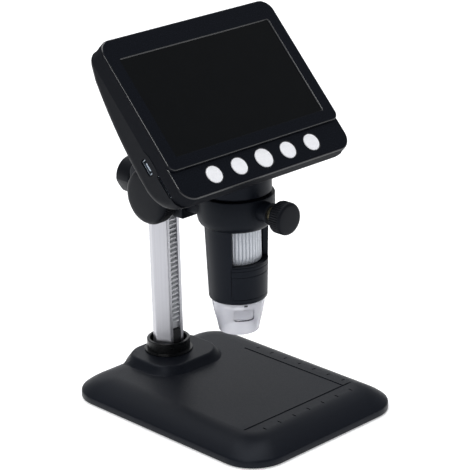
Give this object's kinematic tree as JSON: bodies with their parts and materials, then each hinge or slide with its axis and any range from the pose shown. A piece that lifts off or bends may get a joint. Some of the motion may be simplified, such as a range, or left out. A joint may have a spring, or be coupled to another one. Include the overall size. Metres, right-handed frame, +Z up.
{
  "type": "digital microscope",
  "caption": "Digital microscope with a tilted flat display above a barrel with a clear nose cone, held in a clamp ring on a rack-and-pinion column over a wide flat base.",
  "frame": {"origin": "on the floor plane, under the centre of the object's bounding box, close to the base's centre", "axes": "+Z up, the display faces -Y and up, +X to the right of someone facing the display"},
  "size_m": [0.113, 0.1397, 0.1922],
  "materials": {
    "base_plastic": "satin moulded ABS",
    "cover_plastic": "moulded ABS",
    "steel_plate": "zinc plated",
    "screw_steel": "nickel plated",
    "rubber_feet": "moulded",
    "column_aluminium": "anodised extrusion",
    "rack_steel": "cut teeth",
    "collar_plastic": "gloss black",
    "stand_plastic": "satin moulded ABS",
    "knob_plastic": "knurled",
    "brass": "turned",
    "shaft_steel": "turned",
    "nylon": "nylon",
    "barrel_plastic": "satin moulded ABS",
    "wheel_silver": "silver, ribbed",
    "lens_glass": "coated",
    "clear_plastic": "clear polycarbonate",
    "circuit_board": "solder mask",
    "led_white": "LED resin",
    "ribbon_film": "polyimide film",
    "rear_plastic": "textured ABS",
    "bezel_plastic": "satin ABS",
    "screen_glass": "gloss acrylic",
    "lcd_module": "steel and film",
    "bracket_steel": "pressed",
    "connector_steel": "plated",
    "battery_foil": "foil pouch",
    "button_silver": "speckled silver",
    "switch_plastic": "switch body"
  },
  "bodies": {
    "stand": {"base_shell": "base_plastic", "base_bottom_cover": "cover_plastic", "base_ballast_plate": "steel_plate", "base_feet": "rubber_feet", "base_cover_screws": "screw_steel", "column": "column_aluminium", "column_collar": "collar_plastic", "column_top_cap": "stand_plastic", "column_foot_bolt": "screw_steel", "column_slot_plug": "collar_plastic", "rack_strip": "rack_steel"},
    "carriage": {"carriage_body": "stand_plastic", "carriage_bushes": "brass", "clamp_ring": "stand_plastic", "clamp_ring_screws": "screw_steel", "clamp_insert": "brass"},
    "focus_spindle": {"pinion_shaft": "shaft_steel", "focus_knob_left": "knob_plastic", "focus_knob_right": "knob_plastic"},
    "lock_tip": {"lock_shoe": "nylon"},
    "lock_handle": {"lock_screw": "screw_steel", "lock_knob": "knob_plastic"},
    "clamp_tip": {"clamp_pad": "nylon"},
    "clamp_handle": {"clamp_screw": "screw_steel", "clamp_knob": "knob_plastic"},
    "head": {"neck_housing": "barrel_plastic", "neck_screws": "screw_steel", "barrel_housing": "barrel_plastic", "barrel_front_cover": "barrel_plastic", "barrel_screws": "screw_steel", "wheel_retainer": "cover_plastic", "sensor_board": "circuit_board", "led_board": "led_white", "illumination_leds": "led_white", "camera_ribbon": "ribbon_film", "rear_shell": "rear_plastic", "front_bezel": "bezel_plastic", "display_window": "screen_glass", "lcd_panel": "lcd_module", "lcd_bracket": "bracket_steel", "main_board": "circuit_board", "card_slot": "connector_steel", "charge_board": "circuit_board", "charge_port": "connector_steel", "battery": "battery_foil", "button_board": "circuit_board", "board_screws": "screw_steel", "tact_switches": "switch_plastic", "housing_screws": "screw_steel"},
    "wheel": {"focus_wheel": "wheel_silver"},
    "lens": {"lens_carrier": "cover_plastic", "objective_lens": "lens_glass"},
    "nose": {"nose_cone": "clear_plastic"},
    "key_menu": {"button_menu": "button_silver"},
    "key_up": {"button_up": "button_silver"},
    "key_ok": {"button_ok": "button_silver"},
    "key_down": {"button_down": "button_silver"},
    "key_power": {"button_power": "button_silver"}
  },
  "joints": [
    {"name": "carriage_lift", "type": "slide", "parent": "stand", "child": "carriage", "axis": [0, 0, 1], "range_m": [-0.03, 0.034]},
    {"name": "focus_turn", "type": "hinge", "parent": "carriage", "child": "focus_spindle", "pos_m": [0, 0.0333, 0.1058], "axis": [1, 0, 0], "range_deg": [-325, 287]},
    {"name": "lock_advance", "type": "slide", "parent": "carriage", "child": "lock_tip", "axis": [0, -1, 0], "range_m": [-0.0008, 0.00027]},
    {"name": "lock_turn", "type": "hinge", "parent": "lock_tip", "child": "lock_handle", "pos_m": [0, 0.06, 0.1051], "axis": [0, -1, 0], "range_deg": [-412, 142]},
    {"name": "clamp_advance", "type": "slide", "parent": "carriage", "child": "clamp_tip", "axis": [0, 1, 0], "range_m": [-0.00241, 0.00025]},
    {"name": "clamp_turn", "type": "hinge", "parent": "clamp_tip", "child": "clamp_handle", "pos_m": [0, -0.04, 0.1069], "axis": [0, 1, 0], "range_deg": [-1085, 112]},
    {"name": "head_swivel", "type": "hinge", "parent": "carriage", "child": "head", "pos_m": [0, -0.0078, 0.1], "axis": [0, 0, 1], "range_deg": [-20, 20]},
    {"name": "focus_wheel_turn", "type": "hinge", "parent": "head", "child": "wheel", "pos_m": [0, -0.0078, 0.088], "axis": [0, 0, 1], "range_deg": [-150, 150]},
    {"name": "lens_focus", "type": "slide", "parent": "head", "child": "lens", "axis": [0, 0, 1], "range_m": [-0.00251, 0.00251]},
    {"name": "nose_pull", "type": "slide", "parent": "head", "child": "nose", "axis": [0, 0, -1], "range_m": [0, 0.008]},
    {"name": "menu_press", "type": "slide", "parent": "head", "child": "key_menu", "axis": [0, 0.7323, -0.681], "range_m": [0, 0.0005], "stiffness_N_per_m": 400, "springref_m": -0.001},
    {"name": "up_press", "type": "slide", "parent": "head", "child": "key_up", "axis": [0, 0.7323, -0.681], "range_m": [0, 0.0005], "stiffness_N_per_m": 400, "springref_m": -0.001},
    {"name": "ok_press", "type": "slide", "parent": "head", "child": "key_ok", "axis": [0, 0.7323, -0.681], "range_m": [0, 0.0005], "stiffness_N_per_m": 400, "springref_m": -0.001},
    {"name": "down_press", "type": "slide", "parent": "head", "child": "key_down", "axis": [0, 0.7323, -0.681], "range_m": [0, 0.0005], "stiffness_N_per_m": 400, "springref_m": -0.001},
    {"name": "power_press", "type": "slide", "parent": "head", "child": "key_power", "axis": [0, 0.7323, -0.681], "range_m": [0, 0.0005], "stiffness_N_per_m": 400, "springref_m": -0.001}
  ],
  "couplings": [
    {"joint": "focus_turn", "follows": "carriage_lift", "rad_per_m": -166.67},
    {"joint": "lock_turn", "follows": "lock_advance", "rad_per_m": 8976},
    {"joint": "clamp_turn", "follows": "clamp_advance", "rad_per_m": 7854},
    {"joint": "lens_focus", "follows": "focus_wheel_turn", "m_per_rad": 0.00095493}
  ]
}
